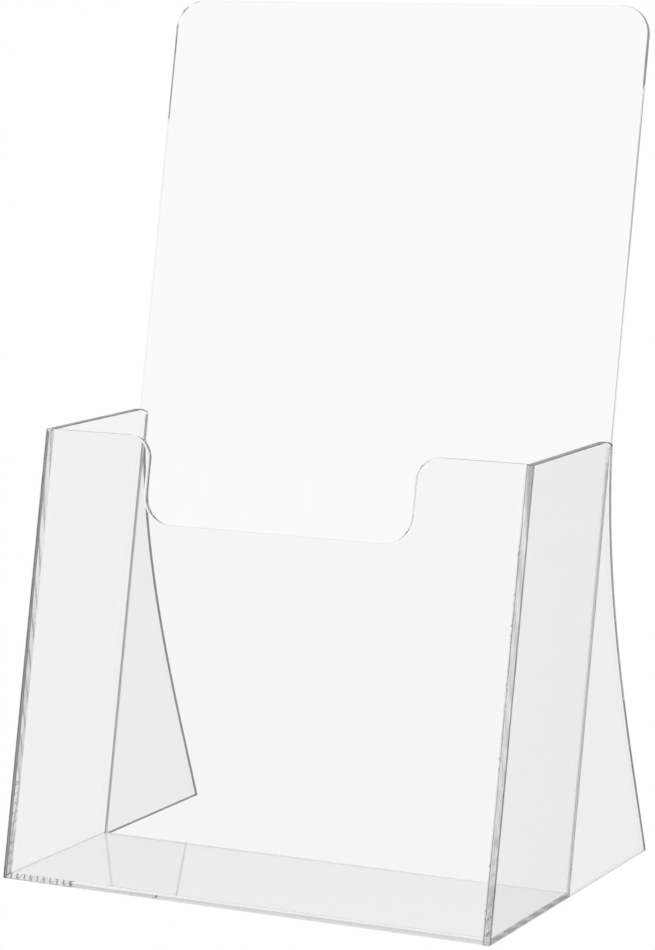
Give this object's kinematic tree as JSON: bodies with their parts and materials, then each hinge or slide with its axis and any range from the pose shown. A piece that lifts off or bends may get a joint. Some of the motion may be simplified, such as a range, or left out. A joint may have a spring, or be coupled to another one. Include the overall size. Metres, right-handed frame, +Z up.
{
  "type": "magazine rack",
  "caption": "Clear acrylic countertop rack for leaflets: a leaning pocket with a thumb cut-out in front, a tall rounded back, and side panels that curve out into heels.",
  "frame": {"origin": "centre of the footprint, on the surface the rack stands on", "axes": "+Z up along the rack's height, the open front with the thumb cut-out faces -Y, +X to the right seen from the front"},
  "size_m": [0.108, 0.082, 0.1763],
  "materials": {
    "clear_acrylic": "clear colourless cast sheet with polished faces and edges",
    "acrylic_cement": "cured clear solvent cement with small trapped bubbles"
  },
  "bodies": {
    "root": {"front_panel": "clear_acrylic", "back_panel": "clear_acrylic", "left_side_panel": "clear_acrylic", "right_side_panel": "clear_acrylic", "floor_panel": "clear_acrylic", "cement_front_left": "acrylic_cement", "cement_front_right": "acrylic_cement", "cement_back_left": "acrylic_cement", "cement_back_right": "acrylic_cement", "cement_floor_left": "acrylic_cement", "cement_floor_right": "acrylic_cement", "cement_floor_front": "acrylic_cement", "cement_floor_back": "acrylic_cement"}
  },
  "joints": []
}
